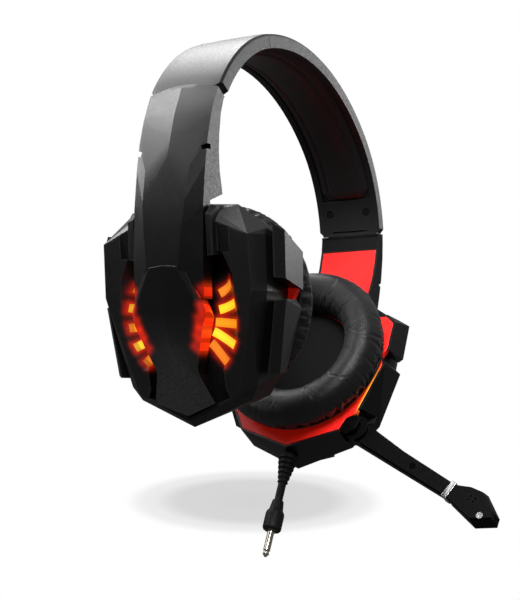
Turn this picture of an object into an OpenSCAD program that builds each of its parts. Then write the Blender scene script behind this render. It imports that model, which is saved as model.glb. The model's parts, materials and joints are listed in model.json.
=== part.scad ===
// Over-ear gaming headset: sprung headband, two sliding arms that carry facetted,
// lit ear cups on small tilt pins, and a microphone boom on the left cup.
// Frame: +Z up, the wearer faces -Y, +X is the wearer's left.
// Origin: midway between the two ear cups, on their common centre line.
// Cup frame: x back, y up the cup, z out from the head.

/* [Headband] */
// Width of the headband
band_w = 38; // [36:1:42]
// Thickness of the headband from outer skin to inner rim
band_t = 7.4; // [7:0.2:9]
// Height of the top of the headband above the cup centres
apex_z = 151.3; // [148:0.1:156]
// Radius of the crown of the headband, outer surface
crown_r = 120; // [116:1:124]
// Radius of the two sides of the headband, outer surface
side_r = 83; // [81:1:85]
// Thickness of the crown pad
pad_t = 3.2; // [2:0.2:5]

/* [Arms] */
// Half width of each arm
arm_hw = 18; // [17:0.2:18.4]
// Width of the steel slider tongue
tongue_w = 16; // [12:1:17]
// Thickness of the steel slider tongue
tongue_t = 1.4; // [1:0.1:1.6]

/* [Ear cups] */
// Distance of each cup centre from the middle of the head
cup_x = 60; // [58:0.5:64]
// Tilt of the cups about the front-to-back axis, tops leaning out, degrees
toe = 15.5; // [12:0.5:18]
// Diameter of the speaker driver
driver_d = 50; // [40:1:50]
// Outer radius of the ear cushion
cushion_r = 45.3; // [43:0.1:46]
// Inner radius of the ear cushion
cushion_ri = 25.5; // [24:0.1:27]
// Height of the ear cushion above its ring
cushion_h = 18.2; // [14:0.2:22]
// Diameter of the tilt pin
tilt_pin_d = 4; // [3:0.1:4.4]

/* [Microphone and cable] */
// Diameter of the boom pivot pin
boom_pin_d = 4; // [3:0.1:5]
// Angle of the boom below the forward direction, degrees
boom_drop = 30; // [20:1:45]
// Diameter of the cable
cable_d = 4.2; // [3:0.1:5]
// Diameter of the audio plug tip
plug_d = 3.5; // [2.5:0.5:3.5]

/* [Hidden] */
$fn = 96;
LEFT = 1;
RIGHT = -1;

black = [0.10, 0.10, 0.11];
dark = [0.05, 0.05, 0.055];
red = [0.80, 0.06, 0.05];
steel = [0.70, 0.71, 0.73];
glow = [1.0, 0.55, 0.10];
leather = [0.07, 0.07, 0.075];
board_green = [0.05, 0.3, 0.12];
film_grey = [0.5, 0.5, 0.52];

pin_fit = 0.04;         // radial running clearance of pins
screw_r = 1.2;          // screws of the arms and cups
screw_hole_r = 1.25;
screw_head_r = 2.1;
head_hole_r = 2.3;

// ---------- helpers ----------
// convex solid round a list of [x, y, z] points
module gem(points) {
  hull() polyhedron(points = points, faces = [[for (i = [0:len(points) - 1]) i]]);
}
// 3D points followed by their mirror images in x
function with_mirror(points) = concat(points, [for (p = points) [-p[0], p[1], p[2]]]);
// closed outline from its half on the +x side
function symmetric(half) = concat(half, [for (i = [len(half) - 1:-1:0]) [-half[i][0], half[i][1]]]);
function at_z(points, z) = [for (p = points) [p[0], p[1], z]];

module mirror_pair() {
  children();
  mirror([1, 0, 0]) children();
}
module on_side(side) {
  if (side > 0) children();
  else mirror([1, 0, 0]) children();
}
// extrudes a (y, z) profile to both sides of x = 0
module across(half_w) {
  rotate([90, 0, 90]) translate([0, 0, -half_w]) linear_extrude(2 * half_w) children();
}
module cup_frame() {
  translate([cup_x, 0, 0]) rotate([0, toe, 0]) rotate([90, 0, 90]) children();
}

// ---------- headband ----------
// crown centre on the middle plane, side centres joined at crown_a from the vertical
crown_a = 30;
end_a = 18;             // the band ends this far above the x axis of the side arc
crown_cz = apex_z - crown_r;
side_cx = (crown_r - side_r) * sin(crown_a);
side_cz = crown_cz + (crown_r - side_r) * cos(crown_a);
rim_r = side_r - band_t;
cover_lip = 1.8;        // thickness of the cover at its two edges
liner_inset = 1.9;
liner_t = 2.3;
pad_hw = 14.9;
spring_w = 16;

// slider tongue: angle to the end tangent, length in the band, depth of its middle below the skin
tongue_a = 6.1;
tongue_in = 26;
tongue_off = 4.4;

// child 2D profile: x is the radius, y across the band
module arc(cx, cz, a0, a1) {
  translate([cx, 0, cz]) rotate([90, 0, 0]) rotate([0, 0, a0])
    rotate_extrude(angle = a1 - a0, $fn = 180) children();
}
// whole band, from angle start_a above the x axis on one side to the same on the other;
// a thin collar, scaled and shifted slightly, joins the arcs at each change of radius
module band(start_a, collar_scale = 1.004, collar_shift = 0) {
  seam = 0.05;
  collar_x = side_r - 4;
  arc(0, crown_cz, 90 - crown_a + seam, 90 + crown_a - seam)
    translate([crown_r - side_r, 0]) children();
  arc(side_cx, side_cz, start_a, 90 - crown_a - seam) children();
  arc(-side_cx, side_cz, 90 + crown_a + seam, 180 - start_a) children();
  mirror_pair() translate([side_cx, 0, side_cz]) rotate([0, crown_a - 90, 0])
    translate([collar_x, 0, -0.5]) linear_extrude(1)
      translate([collar_shift, 0]) scale(collar_scale) translate([-collar_x, 0]) children();
}
// frame at the end of the band: x out along the radius, z back up the band
module end_frame() {
  translate([side_cx, 0, side_cz]) rotate([0, -end_a, 0]) children();
}
module tongue_frame() {
  end_frame() translate([side_r - tongue_off, 0, 0]) rotate([0, -tongue_a, 0]) children();
}

// channel section, open to the head, with softened outer corners
module cover_profile() {
  h = band_w / 2;
  polygon([[rim_r, -h], [side_r - 1.6, -h], [side_r - 0.5, -h + 1], [side_r - 0.12, -h + 4],
    [side_r, -5], [side_r, 5], [side_r - 0.12, h - 4], [side_r - 0.5, h - 1], [side_r - 1.6, h],
    [rim_r, h], [rim_r, h - cover_lip], [side_r - 2.3, h - cover_lip],
    [side_r - 2.3, -h + cover_lip], [rim_r, -h + cover_lip]]);
}
module slider_slot() {
  tongue_frame() translate([-1, -tongue_w / 2 - 0.2, -2])
    cube([2, tongue_w + 0.4, tongue_in + 3.5]);
}
// shallow peak of the arm into the end of the cover
module end_peak(gap) {
  end_frame() translate([side_r - 2.1 - gap, 0, 0]) rotate([90, 0, 90]) linear_extrude(3)
    polygon([[-17 - gap, -1], [-17 - gap, 0], [0, 2.6 + gap], [17 + gap, 0], [17 + gap, -1]]);
}
// chamfers across the two corners of the cover's end
module end_corners() {
  end_frame() for (m = [-1, 1]) translate([side_r - 15, m * band_w / 2, 0]) rotate([0, 90, 0])
    rotate([0, 0, 45]) translate([-2, -2, 0]) cube([4, 4, 20]);
}
// two cylinders along the radius near the end of the band, starting at depth below the skin
module screw_pair(r, depth, h) {
  end_frame() for (m = [-1, 1])
    translate([side_r - depth, m * 11.4, 13]) rotate([0, 90, 0]) cylinder(r = r, h = h);
}
module headband_cover() color(black) difference() {
  union() {
    band(end_a) cover_profile();
    mirror_pair() intersection() {
      screw_pair(r = 2.8, depth = 5.4, h = 4.5);
      band(end_a) translate([side_r - 6, -18.5]) square([5, 37]);
    }
  }
  mirror_pair() {
    slider_slot();
    end_peak(0.25);
    end_corners();
    screw_pair(r = 1.15, depth = 7, h = 4.6);
  }
}
module headband_liner() color(dark) difference() {
  band(end_a, 1.004, 0.03) translate([rim_r, -band_w / 2 + liner_inset])
    square([liner_t, band_w - 2 * liner_inset]);
  // seat of the crown pad
  band(33.6, 1.03) translate([rim_r - 1, -15.2]) square([2.1, 30.4]);
  mirror_pair() {
    slider_slot();
    screw_pair(r = screw_hole_r, depth = 9, h = 5);
    screw_pair(r = head_hole_r, depth = 9.5, h = 2.4);
    // groove across the inner face, near the end
    end_frame() translate([rim_r - 0.6, -11, 1.6]) cube([1.3, 22, 1.1]);
  }
}
module headband_pad() color(leather) band(33.9)
  polygon([[rim_r + 0.95, -pad_hw], [rim_r + 0.95, pad_hw], [rim_r - 0.6, 14.6],
    [rim_r + 1 - pad_t, 11], [rim_r + 1 - pad_t, -11], [rim_r - 0.6, -14.6]]);
module headband_spring() color(steel) band(40)
  translate([side_r - 3.5, -spring_w / 2]) square([0.8, spring_w]);
module headband_screws() color(steel) mirror_pair() intersection() {
  union() {
    screw_pair(r = 1.1, depth = 7.2, h = 4.6);
    screw_pair(r = screw_head_r, depth = 9.4, h = 2.2);
  }
  band(end_a) translate([rim_r + 0.3, -18]) square([6, 36]);
}

// ---------- tilt joint between arm and cup ----------
tilt_y = 8;             // axis of the pin in the cup frame
tilt_z = 15.5;
eye_r = 4.4;

// cylinder on the tilt axis
module tilt_cylinder(d, half_l) {
  translate([-half_l, tilt_y, tilt_z]) rotate([0, 90, 0]) cylinder(d = d, h = 2 * half_l);
}
module tilt_hole() tilt_cylinder(tilt_pin_d + 2 * pin_fit, 20);
// (y, z) profile: round eye with a straight root of height h from z0
module eye_profile(z0, h) {
  translate([tilt_y, tilt_z]) circle(r = eye_r);
  translate([tilt_y - eye_r, z0]) square([2 * eye_r, h]);
}
module tilt_pin(side) on_side(side) color(steel) cup_frame() tilt_cylinder(tilt_pin_d, 13.6);

// ---------- arms ----------
// outer surface, [x, y, z]: the ridge and raised middle, then the side edges
arm_top = [[0, 98, 13], [0, 83, 20.5], [0, 72, 24.2], [0, 64, 26.6], [12.4, 66, 24.5],
  [11.6, 58, 27.3], [11, 43, 30.8], [9.7, 30, 32.4], [8.2, 14.4, 33], [0, 14.4, 33.1], [6, 0, 31],
  [18.2, 98, 10.4], [18.2, 90, 14.7], [18.2, 82, 18.3], [18.2, 71, 21.9], [18.2, 59, 24.3],
  [18.2, 41, 26.9], [18.2, 14.4, 28.2], [18.2, 0, 27.6], [18.2, 98, -10], [18.2, -1, 5]];
// limits of the arm from its inner face outwards, [y, z]
arm_inner = [[-1, 60], [-1, 21], [43, 21], [46.8, 10.1], [50.7, 10.8], [57.3, 12.1], [65.7, 12.4],
  [73.8, 11.7], [83.7, 9.8], [90.2, 7.2], [98, 1], [104, 60]];
// shield over the cup: surface [x, y, z], half outline [x, y] down from its waist, limits [y, z]
shield_top = [[7, 13.8, 33.1], [0, 14.6, 33.15], [9.4, 15.2, 32], [17.2, -6.2, 30.3],
  [19.4, -4.6, 28.2], [19.4, -8, 27.6], [0, -5.5, 31.9], [0, -14, 30], [0, -24, 26.3],
  [19, -24, 24.6], [19, -46, 16.2], [0, -52, 14], [8, 14.4, 19], [19, -10, 19], [19, -46, 9],
  [0, -52, 8]];
shield_line = [[0, 15], [9.3, 15], [19, -4.8], [18.8, -8], [10.9, -30.5], [10.9, -33],
  [15.5, -46], [0, -51.7]];
shield_inner = [[17, 21], [-9, 20.6], [-30, 16.6], [-54, 10.3], [-60, 60], [17, 60]];
// [y, z] profiles of the hollow behind the panel, the panel's seat and the panel
spine_hollow = [[82.5, 9], [82.5, 15.6], [71, 19], [59, 21.4], [49.5, 22.5], [49.5, 9],
  [57.3, 10], [73.8, 9.5]];
panel_seat = [[83.2, 5], [83.2, 11.7], [73.8, 13.6], [65.7, 14.3], [57.3, 14], [50.7, 12.7],
  [48.6, 12.2], [48.6, 5]];
panel_profile = [[83, 9.95], [83, 11.6], [73.8, 13.5], [65.7, 14.2], [57.3, 13.9], [50.7, 12.6],
  [48.8, 12.1], [48.8, 10.5], [50.7, 10.8], [57.3, 12.1], [65.7, 12.4], [73.8, 11.7]];

module at_arm_screws(z) {
  for (m = [-1, 1]) translate([m * 9, 56, z]) children();
}
// side bevels narrow the raised middle down to a waist, then the shield opens again
module arm_solid() {
  intersection() {
    gem(with_mirror(arm_top));
    across(arm_hw) polygon(arm_inner);
  }
  intersection() {
    gem(with_mirror(shield_top));
    linear_extrude(60) polygon(symmetric(shield_line));
    across(30) polygon(shield_inner);
  }
}
module tilt_lugs() {
  for (m = [-1, 1]) intersection() {
    translate([m * 10.8, 0, 0]) across(1.6) eye_profile(tilt_z, 8);
    translate([-20, -20, 0]) cube([40, 60, 24]);
  }
}
// everything beyond the end joint, on the headband's side
module beyond_joint() difference() {
  end_frame() translate([50, -30, -0.25]) cube([50, 60, 40]);
  end_peak(0);
}
module arm_body() difference() {
  cup_frame() {
    arm_solid();
    tilt_lugs();
  }
  beyond_joint();
  cup_frame() {
    across(16.9) polygon(panel_seat);
    // notches in the side edges, where the side bevels start
    mirror_pair() translate([18.6, 67, 22]) rotate([0, 0, 20])
      translate([-3, -1.1, -2.4]) cube([6, 2.2, 8]);
    tilt_hole();
  }
  tongue_frame() translate([-tongue_t / 2 - 0.03, -tongue_w / 2 - 0.03, -11])
    cube([tongue_t + 0.06, tongue_w + 0.06, 15]);
}
module arm_spine(side) on_side(side) color(black) difference() {
  union() {
    difference() {
      arm_body();
      cup_frame() across(15.6) polygon(spine_hollow);
    }
    cup_frame() at_arm_screws(17.7) cylinder(r = 2.8, h = 5.5);
  }
  cup_frame() at_arm_screws(12) cylinder(r = screw_hole_r, h = 12);
}
module arm_panel(side) on_side(side) color(red) cup_frame() difference() {
  union() {
    across(16.8) polygon(panel_profile);
    at_arm_screws(12.6) cylinder(r = 2.6, h = 5);
  }
  at_arm_screws(5) {
    cylinder(r = screw_hole_r, h = 20);
    cylinder(r = head_hole_r, h = 8.3);
  }
}
// tongue with a row of notches along one edge
module arm_slider(side) on_side(side) color(steel) tongue_frame() difference() {
  translate([-tongue_t / 2, -tongue_w / 2, -11]) cube([tongue_t, tongue_w, 11 + tongue_in]);
  for (i = [0:7]) translate([-2, tongue_w / 2, 3 + i * 2.6])
    rotate([0, 90, 0]) cylinder(r = 0.5, h = 4, $fn = 24);
}
module arm_screws(side) on_side(side) color(steel) cup_frame() {
  at_arm_screws(11.9) cylinder(r = screw_head_r, h = 1.3);
  at_arm_screws(12) cylinder(r = screw_r, h = 11.5);
}

// ---------- ear cup shell ----------
baffle_z = -10;         // face of the baffle towards the head
seat_z = -6.9;          // seat of the baffle in the shell
rim_z = -9.9;           // rim of the shell round the baffle
wide_y = 2.4;           // height at which the shell is widest
pivot_x = -35.2;        // boom pivot
pivot_y = -40.2;
cup_screw_xy = [[30, 20], [-30, 20], [25, -31], [-25, -31]];

// shell above and below its widest line, [x, y, z]
shell_upper = [[41, wide_y, rim_z], [41, 25.4, rim_z], [31.5, 28.6, rim_z], [24, 36.4, rim_z],
  [0, 41, rim_z], [41, wide_y, 13], [41, 27, 13.5], [40.4, 30, 11], [30.5, 37.8, 14],
  [27.5, 41.3, 13], [0, 43.6, 13], [38.2, wide_y, 22], [37.6, 26.8, 23.7], [33.7, 29.3, 22],
  [25.9, 34.6, 22], [20.4, 37.8, 22], [0, 40.8, 22], [0, 34, 24.4], [20.4, 34, 24.4],
  [32.9, 27.8, 24]];
shell_lower = [[41, wide_y, rim_z], [35.3, -33.4, rim_z], [29, -43.6, rim_z], [0, -53.6, rim_z],
  [41, wide_y, 13], [38.2, wide_y, 22], [26.1, -42.1, 13.4], [33, -38.7, 9], [0, -54.8, 11.6],
  [0, -57, 8.6], [29, -44.9, 7]];
// half outlines [x, y] of the deep and the shallow hollow behind the baffle
deep_hollow = [[0, -31], [33.6, -31], [38.4, -2], [38.4, 23.6], [30, 26.5], [22, 33.6], [0, 38]];
low_hollow = [[0, -50], [27, -41.6], [33.2, -32.8], [33.2, -30], [0, -30]];
// channel for the arm: half outline [x, y] and floor [y, z]
channel_line = [[0, 46], [18.5, 46], [18.5, 8], [19.7, -4.6], [19.7, -31], [19.8, -40],
  [21.5, -43.6], [0, -52.8]];
channel_floor = [[50, 17.5], [-5, 17.5], [-30, 13], [-53, 5.3], [-60, 5], [-60, 60], [50, 60]];
// recess beside the channel, [x, y]: at its bottom, then at the shell's surface
recess_bottom = [[11, 20], [20, 14], [20, 4], [19.5, -4], [18, -11], [16.3, -17], [14, -23],
  [11, -24]];
recess_edge = [[24.7, 20], [29.2, 10], [29.8, -2], [29.8, -12], [27.8, -22], [22.8, -31],
  [11, -31.5], [11, 22]];
fin_points = [[18.8, 18.6, 20], [22.4, 19, 20], [18.8, 40.4, 18], [22.4, 39.4, 18],
  [18.9, 18.2, 26], [22, 18.6, 26.3], [18.9, 36.4, 27.2], [21.9, 35.6, 26.8], [18.9, 41, 22.4],
  [22.4, 40, 22.4]];
corner_line = [[28, -43.4], [33, -44.6], [36.8, -43], [38.4, -38.4], [37.6, -35.4],
  [36.1, -34.9], [31.2, -36.6]];
// pods on the sides of the shell, [x, y, z]
upper_pod = [[41.3, 3.6, rim_z], [47, 3.2, rim_z], [47.4, 20.4, rim_z], [42, 25.2, rim_z],
  [41.3, 25, rim_z], [41.3, 8, 7], [43.6, 8.2, 12], [47.6, 7.8, 8], [47.6, 28.6, 8],
  [43.6, 31.8, 12], [41.3, 32, 7]];
lower_pod = [[40.6, -6, rim_z], [45.9, -4.8, rim_z], [43.6, -0.8, rim_z], [41.2, -0.8, rim_z],
  [36, -32.6, rim_z], [37.4, -33, rim_z], [41.4, -1.4, 7], [43.8, -1.8, 12], [47.6, -1.2, 8],
  [42.6, -33.6, 6], [36.6, -34.6, 6], [38.6, -34.4, 10]];
// lit bars, [x, y]: inner end, then outer end
bars = [[[20.5, 4], [25.2, 6.4]], [[20.5, -4], [27.6, -2.4]], [[18.5, -10.6], [28, -11.6]],
  [[17, -16], [26, -20.6]], [[15, -21.8], [21.4, -28]]];
bar_w = 3.8;
bar_root = 3.6;         // length of a bar inside its inner end

// height of the shell's surface over the recess, falling towards the bottom of the cup
function surface_z(y) = 22 + (y > wide_y ? 0.083 : 0.193) * (y - wide_y);
module recess(lift) translate([0, 0, lift]) gem(concat(at_z(recess_bottom, 13),
  [for (p = recess_edge) for (z = [surface_z(p[1]), 40]) [p[0], p[1], z]]));
// all the bars, grown by gap, from z0 to z1
module bar_blocks(gap, z0, z1) {
  mirror_pair() for (ends = bars) {
    run = ends[1] - ends[0];
    translate([ends[0][0], ends[0][1], z0]) rotate([0, 0, atan2(run[1], run[0])])
      translate([-bar_root - gap, -bar_w / 2 - gap, 0])
        cube([norm(run) + bar_root + 2 * gap, bar_w + 2 * gap, z1 - z0]);
  }
}
module shell_hollow() {
  translate([0, 0, seat_z - 1]) {
    linear_extrude(10 - seat_z + 1) polygon(symmetric(deep_hollow));
    linear_extrude(3.6 - seat_z + 1) polygon(symmetric(low_hollow));
  }
}
module arm_channel() intersection() {
  linear_extrude(60) polygon(symmetric(channel_line));
  across(30) polygon(channel_floor);
}
// pocket beside the fin, deeper towards the lights
module fin_pocket() translate([25.6, 0, 0]) across(2.7)
  polygon([[33, 24.7], [19.6, 20.9], [19.6, 40], [33, 40]]);
// block at the lower front corner of the left cup, which carries the boom
module corner_block(z0, z1) mirror([1, 0, 0]) translate([0, 0, z0])
  linear_extrude(z1 - z0) polygon(corner_line);
// room for the boom to swing on the left cup, and the hole of its pin
module mic_clearance() {
  h = 12.4;
  translate([pivot_x, pivot_y, -11]) {
    cylinder(r = 8.2, h = h);
    linear_extrude(h) polygon(concat([[4, 7]],
      [for (a = [152:12:272]) [40 * cos(a), 40 * sin(a)]], [[7, 0]]));
  }
  translate([pivot_x, pivot_y, 0]) cylinder(d = boom_pin_d + 2 * pin_fit, h = 5);
}
module cup_shell(side) on_side(side) cup_frame() color(black) difference() {
  union() {
    difference() {
      union() {
        gem(with_mirror(shell_upper));
        gem(with_mirror(shell_lower));
      }
      shell_hollow();
      arm_channel();
      mirror_pair() {
        recess(0);
        fin_pocket();
      }
    }
    mirror_pair() gem(fin_points);
    // boss of the tilt pin, between the two lugs of the arm
    across(8.6) eye_profile(9.9, tilt_z - 9.9);
    for (p = cup_screw_xy) translate([p[0], p[1], seat_z])
      cylinder(r = 3.1, h = 10.4 - seat_z - (p[1] < 0 ? 6.5 : 0));
    if (side > 0) corner_block(-9, 6);
  }
  baffle_pocket(side);
  // windows for the lugs
  for (m = [-1, 1]) translate([m * 10.85 - 2.05, tilt_y - 5, 9]) cube([4.1, 10, 12]);
  tilt_hole();
  bar_blocks(0.12, 2, 40);
  for (p = cup_screw_xy) translate([p[0], p[1], seat_z - 1]) cylinder(r = screw_hole_r, h = 11);
  if (side > 0) {
    mic_clearance();
    translate([cable_x, -48.2, cable_z]) rotate([90, 0, 0]) cylinder(r = 3.3, h = 20);
  }
}
module cup_pods(side) on_side(side) cup_frame() color(black) difference() {
  mirror_pair() {
    gem(upper_pod);
    gem(lower_pod);
  }
  baffle_pocket(side);
  if (side > 0) mic_clearance();
}

// ---------- baffle, speaker and lights ----------
driver_r = driver_d / 2;
// half outlines [x, y]
guide_line = [[14, 7], [26, 9.5], [30, -2], [30, -12], [28, -22], [22, -28.5], [14, -24]];
board_line = [[0, 30], [20, 28], [30, 12], [31, -14], [24, -28], [0, -28]];

// half outline from its lowest point to its top; the corner is cut for the boom's hinge
function baffle_half(cut) = concat([[0, -52.3]],
  cut ? [[27.8, -42.9], [30.7, -36.6], [35.8, -33.9]] : [[28.2, -42.7], [34.2, -32.8]],
  [[35.9, -32], [44.7, -5.2], [43.2, -1], [45.8, 4.2], [46.2, 19.8], [41.7, 23.9], [38.2, 23.6],
    [31, 27.4], [23.6, 35.4], [0, 39.9]]);
function baffle_line(side) = let (front = baffle_half(side > 0))
  concat(baffle_half(false), [for (i = [len(front) - 2:-1:1]) [-front[i][0], front[i][1]]]);
module baffle_pocket(side) translate([0, 0, -13])
  linear_extrude(13 + seat_z) scale(1.003) polygon(baffle_line(side));
module cup_baffle(side) on_side(side) cup_frame() color(red) difference() {
  translate([0, 0, baffle_z]) linear_extrude(seat_z - baffle_z - 0.05) polygon(baffle_line(side));
  translate([0, 0, baffle_z - 1]) cylinder(r = driver_r - 3.5, h = 6);
  for (p = cup_screw_xy) translate([p[0], p[1], baffle_z - 1]) {
    cylinder(r = 1.3, h = 8);
    cylinder(r = head_hole_r, h = 2.3);
  }
}
// bars joined by a plate on each side, trimmed to lie below the recess
module light_guides(side) on_side(side) cup_frame() color(glow) difference() {
  union() {
    bar_blocks(0, 8.6, 30);
    mirror_pair() translate([0, 0, 8.4]) linear_extrude(1.4) polygon(guide_line);
  }
  mirror_pair() recess(0.35);
}
module led_board(side) on_side(side) cup_frame() color(board_green) difference() {
  union() {
    translate([0, 0, 6.2]) linear_extrude(1.6) polygon(symmetric(board_line));
    // one LED near the outer end of each bar
    mirror_pair() for (ends = bars)
      translate([ends[1][0] - 3.5, ends[1][1] - 1, 7.7]) cube([2, 2, 0.6]);
  }
  for (m = [-1, 1]) translate([m * 25, -31, 5]) cylinder(r = 3.6, h = 4);
  translate([0, 0, 5]) cylinder(r = 8, h = 4);
}
module driver_frame(side) on_side(side) cup_frame() color(dark) difference() {
  translate([0, 0, seat_z]) rotate_extrude()
    polygon([[driver_r - 2.5, 0], [driver_r + 1, 0], [driver_r + 1, 1.6], [driver_r - 1, 1.6],
      [16, 5.4], [16, 7], [10, 7], [10, 5.6], [15, 4.2], [driver_r - 2.5, 0.8]]);
  for (a = [0:45:315]) rotate([0, 0, a])
    translate([19.5, 0, -8]) cylinder(r = 1.6, h = 12, $fn = 32);
}
module driver_magnet(side) on_side(side) cup_frame() color(steel)
  translate([0, 0, seat_z + 7.05]) difference() {
    cylinder(r = 14.5, h = 4.6);
    translate([0, 0, -1]) cylinder(r = 3, h = 7);
  }
module driver_diaphragm(side) on_side(side) cup_frame() color(film_grey)
  translate([0, 0, seat_z]) rotate_extrude()
    polygon([[0, 1.6], [8.6, 3.3], [14, 1.6], [18, 0.2], [21, 0.7], [22.2, 0.1], [22.2, 0.5],
      [21, 1.2], [18, 0.8], [14, 2.2], [8.6, 3.9], [0, 2.2]]);
module speaker_cloth(side) on_side(side) cup_frame() color(dark)
  translate([0, 0, baffle_z - 0.75]) cylinder(r = cushion_ri + 0.6, h = 0.7);
module cushion_ring(side) on_side(side) cup_frame() color(dark)
  translate([0, 0, baffle_z - 1.75]) difference() {
    cylinder(r = cushion_r - 2.6, h = 1.7);
    translate([0, 0, -1]) cylinder(r = cushion_ri + 0.8, h = 4);
  }
module cushion(side) on_side(side) cup_frame() color(leather)
  translate([0, 0, baffle_z - 1.85]) rotate_extrude() {
    ri = cushion_ri;
    ro = cushion_r;
    face = -cushion_h;
    polygon([[ri + 1.2, 0], [ro - 1.6, 0], [ro, -1.2], [ro, -5], [ro - 1.2, face + 6],
      [ro - 4, face + 2.4], [ro - 8, face + 0.4], [ro - 10, face], [ri + 7, face],
      [ri + 3.4, face + 0.8], [ri + 0.8, face + 3.4], [ri, face + 7], [ri, -4]]);
  }
module cup_screws(side) on_side(side) cup_frame() color(steel)
  for (p = cup_screw_xy) translate([p[0], p[1], baffle_z]) {
    translate([0, 0, 0.2]) cylinder(r = screw_head_r, h = 1.05);
    translate([0, 0, 0.3]) cylinder(r = screw_r, h = p[1] < 0 ? 10 : 12);
  }

// ---------- microphone ----------
boom_z0 = -4.4;         // faces of the boom towards and away from the head
boom_z1 = 0.8;
cover_z = -6.4;         // inner face of the boom cover
boom_screw_xy = [[84, -3], [40, -0.6]];
capsule_xy = [76.5, 1.4];
// outlines [x, y] in the boom frame: boom, tip at each face, the two pieces of the cover
boom_line = [[-5, -2.2], [-2, -5.4], [4, -6], [30, -5.2], [60, -4.4], [66.5, -4.6], [66.5, 3.6],
  [60, 3.5], [30, 3.6], [12, 4.8], [3, 5.6], [-3, 5]];
tip_outer = [[66, -5], [66, 4], [72, 7.2], [78.5, 8.4], [90, 2], [91.6, -2], [83, -8]];
tip_inner = [[66, -4.4], [66, 3.8], [72, 6.6], [78.5, 7.6], [88.5, 2], [90, -1], [81, -7]];
cover_lines = [
  [[7.6, -5], [30, -4.6], [61.8, -3.9], [61.8, 3.1], [30, 3.2], [12, 4.3], [7.6, 4.6]],
  [[65.2, -4], [65.2, 3.2], [72, 6.2], [78.4, 7.2], [88, 2], [89.4, -0.8], [80.8, -6.6]]];

// boom frame: x forward along the boom, y up across it, z out from the head
module boom_frame() {
  cup_frame() translate([pivot_x, pivot_y, 0]) mirror([1, 0, 0])
    rotate([0, 0, -boom_drop]) children();
}
module at_boom_screws(z) {
  for (p = boom_screw_xy) translate([p[0], p[1], z]) children();
}
module mic_hinge_cap() cup_frame() color(black) difference() {
  corner_block(baffle_z - 0.4, -6.75);
  translate([pivot_x, pivot_y, -9]) cylinder(d = boom_pin_d + 2 * pin_fit, h = 5);
}
module mic_pivot_pin() cup_frame() color(steel)
  translate([pivot_x, pivot_y, -8.8]) cylinder(d = boom_pin_d, h = 13.4);
module mic_boom_body() boom_frame() color(black) difference() {
  union() {
    translate([0, 0, boom_z0]) linear_extrude(boom_z1 - boom_z0) polygon(boom_line);
    translate([0, 0, -6.6]) cylinder(r = 6.4, h = 7.4);
    gem(concat(at_z(tip_outer, boom_z1), at_z(tip_inner, boom_z0)));
  }
  translate([0, 0, -10]) cylinder(d = boom_pin_d + 2 * pin_fit, h = 20);
  // wire channel
  translate([10, -2.4, -3]) cube([57, 4.6, 2.4]);
  // capsule pocket
  translate([capsule_xy[0], capsule_xy[1], -5]) cylinder(r = 3.4, h = 4.2);
  at_boom_screws(-5) cylinder(r = 0.85, h = 4.4);
  // neck inside the bright band
  translate([62, 0, 0]) difference() {
    translate([0, -10, -10]) cube([3, 20, 20]);
    translate([-1, -2.8, -4.2]) cube([5, 5.2, 3.5]);
  }
}
module mic_boom_cover() boom_frame() color(black) difference() {
  for (outline = cover_lines) translate([0, 0, cover_z]) linear_extrude(1.95) polygon(outline);
  // four small holes over the capsule
  for (m = [0:1], n = [0:1]) translate([74.8 + 2.8 * m, 0.6 + 2 * n, -8])
    cylinder(r = 0.5, h = 5, $fn = 24);
  at_boom_screws(-8) {
    cylinder(r = 0.95, h = 5);
    cylinder(r = 1.75, h = 2.4);
  }
}
module mic_band() boom_frame() color(steel) difference() {
  translate([62.1, -5, -6.5]) cube([2.8, 9, 7.4]);
  translate([61, -2.9, -4.3]) cube([5, 5.4, 3.7]);
}
module mic_capsule() boom_frame() color(steel)
  translate([capsule_xy[0], capsule_xy[1], -4.3]) cylinder(r = 3, h = 2.6);
module mic_screws() boom_frame() color(steel) at_boom_screws(0) difference() {
  union() {
    translate([0, 0, -6.3]) cylinder(r = 1.6, h = 0.65);
    translate([0, 0, -6]) cylinder(r = 0.8, h = 4.2);
  }
  // cross slot
  for (a = [0, 90]) rotate([0, 0, a]) translate([-1, -0.2, -6.6]) cube([2, 0.4, 0.6]);
}

// ---------- cable ----------
cable_x = 1;            // start of the cable in the cup frame
cable_y = -46.4;
cable_z = -2.6;
cable_l = 34;           // from that start to the plug
rib_pitch = 2.6;

// z runs down out of the cup, along the cable
module cable_frame() {
  cup_frame() translate([cable_x, cable_y, cable_z]) rotate([90, 0, 0]) children();
}
module plug_frame() cable_frame() translate([0, 0, cable_l + 0.05]) children();
// tapering ribbed sleeve
module cable_boot() cable_frame() color(dark) difference() {
  union() {
    cylinder(r = 3.2, h = 9.5);
    translate([0, 0, 0.4]) cylinder(r = 4, h = 1.5);
    rotate_extrude() polygon(concat([[0, 9.4], [5.4, 9.4]],
      [for (i = [0:4]) let (z = i * rib_pitch) each [[5.2 - 0.5 * i, 9.8 + z],
        [5.1 - 0.5 * i, 11.3 + z], [4.2 - 0.4 * i, 11.5 + z], [4.1 - 0.4 * i, 12.2 + z]]],
      [[2.8, 24], [0, 24]]));
  }
  translate([0, 0, -3]) cylinder(d = cable_d + 0.08, h = 30);
}
module cable() cable_frame() color(dark)
  translate([0, 0, -4]) cylinder(d = cable_d, h = 4 + cable_l);
module plug_body() plug_frame() color(dark) difference() {
  rotate_extrude() polygon([[0, 0], [2.9, 0], [3.6, 5], [4.6, 6.5], [4.8, 8], [4.8, 15],
    [4.2, 16], [0, 16]]);
  translate([0, 0, 12]) cylinder(r = 2, h = 5);
}
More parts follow.
